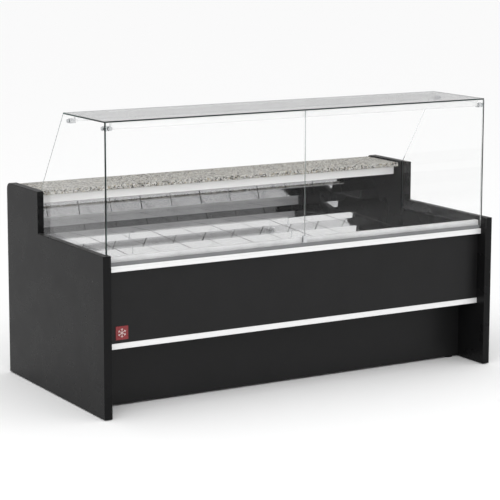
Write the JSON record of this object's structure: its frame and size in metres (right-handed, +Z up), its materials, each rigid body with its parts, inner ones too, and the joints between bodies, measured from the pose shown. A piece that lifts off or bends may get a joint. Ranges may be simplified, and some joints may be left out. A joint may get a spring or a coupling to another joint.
{
  "type": "refrigerated deli case",
  "caption": "Serve-over refrigerated counter: flat glass case over a stainless display deck, stone worktop, black side panels and front, and chilled storage with doors behind.",
  "frame": {"origin": "on the floor, under the middle of the counter", "axes": "+Z up, -Y towards the customer, +Y towards the operator, +X to the right seen from the front"},
  "size_m": [2.06, 1.01, 1.282],
  "materials": {
    "side_panel": "satin black laminated board",
    "black_panel": "satin black powder coat",
    "frame_steel": "black welded steel tube",
    "zinc_steel": "zinc-plated steel",
    "trim_strip": "bright satin extrusion",
    "rail": "satin anodised extrusion",
    "gasket": "grey soft seal",
    "riser": "light grey coated sheet",
    "glass": "clear toughened glass with green edges",
    "clamp": "polished point clamps",
    "stone": "speckled grey-beige granite",
    "diffuser": "opal light diffuser",
    "stainless": "polished stainless steel sheet",
    "tub": "grey coated insulated wall skins",
    "coil": "aluminium fins on copper tubes",
    "fan": "moulded black plastic",
    "door": "grey coated steel sheet",
    "compressor": "gloss black enamel",
    "copper": "bare copper tube",
    "controls": "black moulded plastic",
    "badge": "red enamelled plate"
  },
  "bodies": {
    "cabinet": {"air_return_riser": "riser", "badge": "badge", "base_frame": "frame_steel", "bumper_rail": "rail", "cable_gland": "controls", "clamp_screws": "clamp", "compressor": "compressor", "condenser_coil": "coil", "door_hinge_pins": "zinc_steel", "evaporator_coil": "coil", "evaporator_fan_tray": "stainless", "front_glass_left": "glass", "front_glass_right": "glass", "front_panel": "black_panel", "front_trim_strip": "trim_strip", "glass_clamps": "clamp", "glass_corner_blocks": "side_panel", "glazing_gasket": "gasket", "insulated_tub": "tub", "kick_panel": "black_panel", "levelling_feet": "zinc_steel", "light_diffuser": "diffuser", "light_housing": "rail", "rail_end_caps": "side_panel", "rear_baffle_left": "stainless", "rear_baffle_right": "stainless", "rear_glass_rail": "rail", "rear_panel": "door", "refrigerant_pipes": "copper", "service_grille": "door", "side_glass_left": "glass", "side_glass_right": "glass", "side_panel_left": "side_panel", "side_panel_right": "side_panel", "storage_liner": "stainless", "thermostat": "controls", "top_glass": "glass", "top_light_bar": "rail", "worktop": "stone"},
    "deck_plate_1": {"deck_plate_1": "stainless"},
    "deck_plate_2": {"deck_plate_2": "stainless"},
    "deck_plate_3": {"deck_plate_3": "stainless"},
    "deck_plate_4": {"deck_plate_4": "stainless"},
    "deck_plate_5": {"deck_plate_5": "stainless"},
    "deck_plate_6": {"deck_plate_6": "stainless"},
    "storage_door_left": {"storage_door_left": "door", "door_gasket_left": "gasket"},
    "storage_door_middle": {"storage_door_middle": "door", "door_gasket_middle": "gasket"},
    "storage_door_right": {"storage_door_right": "door", "door_gasket_right": "gasket"},
    "evaporator_fan_left": {"evaporator_fan_left": "fan"},
    "evaporator_fan_right": {"evaporator_fan_right": "fan"},
    "condenser_fan": {"condenser_fan": "fan"},
    "condensate_tray": {"condensate_tray": "zinc_steel"},
    "light_rocker": {"light_rocker": "controls"},
    "thermostat_button_set": {"thermostat_button_set": "controls"},
    "thermostat_button_up": {"thermostat_button_up": "controls"},
    "thermostat_button_down": {"thermostat_button_down": "controls"},
    "thermostat_button_power": {"thermostat_button_power": "controls"}
  },
  "joints": [
    {"name": "deck_plate_1_tip", "type": "hinge", "parent": "cabinet", "child": "deck_plate_1", "pos_m": [-0.82625, 0.39156, 0.62844], "axis": [-1, 0, 0], "range_deg": [0, 32]},
    {"name": "deck_plate_2_tip", "type": "hinge", "parent": "cabinet", "child": "deck_plate_2", "pos_m": [-0.49575, 0.39156, 0.62844], "axis": [-1, 0, 0], "range_deg": [0, 32]},
    {"name": "deck_plate_3_tip", "type": "hinge", "parent": "cabinet", "child": "deck_plate_3", "pos_m": [-0.16525, 0.39156, 0.62844], "axis": [-1, 0, 0], "range_deg": [0, 32]},
    {"name": "deck_plate_4_tip", "type": "hinge", "parent": "cabinet", "child": "deck_plate_4", "pos_m": [0.16525, 0.39156, 0.62844], "axis": [-1, 0, 0], "range_deg": [0, 32]},
    {"name": "deck_plate_5_tip", "type": "hinge", "parent": "cabinet", "child": "deck_plate_5", "pos_m": [0.49575, 0.39156, 0.62844], "axis": [-1, 0, 0], "range_deg": [0, 32]},
    {"name": "deck_plate_6_tip", "type": "hinge", "parent": "cabinet", "child": "deck_plate_6", "pos_m": [0.82625, 0.39156, 0.62844], "axis": [-1, 0, 0], "range_deg": [0, 32]},
    {"name": "storage_door_left_hinge", "type": "hinge", "parent": "cabinet", "child": "storage_door_left", "pos_m": [-0.9745, 0.483, 0.2735], "axis": [0, 0, 1], "range_deg": [0, 95]},
    {"name": "storage_door_middle_hinge", "type": "hinge", "parent": "cabinet", "child": "storage_door_middle", "pos_m": [-0.4815, 0.483, 0.2735], "axis": [0, 0, 1], "range_deg": [0, 95]},
    {"name": "storage_door_right_hinge", "type": "hinge", "parent": "cabinet", "child": "storage_door_right", "pos_m": [0.0115, 0.483, 0.2735], "axis": [0, 0, 1], "range_deg": [0, 95]},
    {"name": "evaporator_fan_left_spin", "type": "hinge", "parent": "cabinet", "child": "evaporator_fan_left", "pos_m": [-0.33, 0.184, 0.563], "axis": [0, -0.4067, 0.9135], "continuous": true},
    {"name": "evaporator_fan_right_spin", "type": "hinge", "parent": "cabinet", "child": "evaporator_fan_right", "pos_m": [0.33, 0.184, 0.563], "axis": [0, -0.4067, 0.9135], "continuous": true},
    {"name": "condenser_fan_spin", "type": "hinge", "parent": "cabinet", "child": "condenser_fan", "pos_m": [0.64, 0.306, 0.272], "axis": [0, 1, 0], "continuous": true},
    {"name": "condensate_tray_slide", "type": "slide", "parent": "cabinet", "child": "condensate_tray", "axis": [0, 1, 0], "range_m": [0, 0.25]},
    {"name": "button_set_press", "type": "slide", "parent": "cabinet", "child": "thermostat_button_set", "axis": [0, -1, 0], "range_m": [0, 0.0008], "stiffness_N_per_m": 300},
    {"name": "button_up_press", "type": "slide", "parent": "cabinet", "child": "thermostat_button_up", "axis": [0, -1, 0], "range_m": [0, 0.0008], "stiffness_N_per_m": 300},
    {"name": "button_down_press", "type": "slide", "parent": "cabinet", "child": "thermostat_button_down", "axis": [0, -1, 0], "range_m": [0, 0.0008], "stiffness_N_per_m": 300},
    {"name": "button_power_press", "type": "slide", "parent": "cabinet", "child": "thermostat_button_power", "axis": [0, -1, 0], "range_m": [0, 0.0008], "stiffness_N_per_m": 300},
    {"name": "light_rocker_tilt", "type": "hinge", "parent": "cabinet", "child": "light_rocker", "pos_m": [0.76, 0.46, 0.43], "axis": [1, 0, 0], "range_deg": [0, 18]}
  ]
}
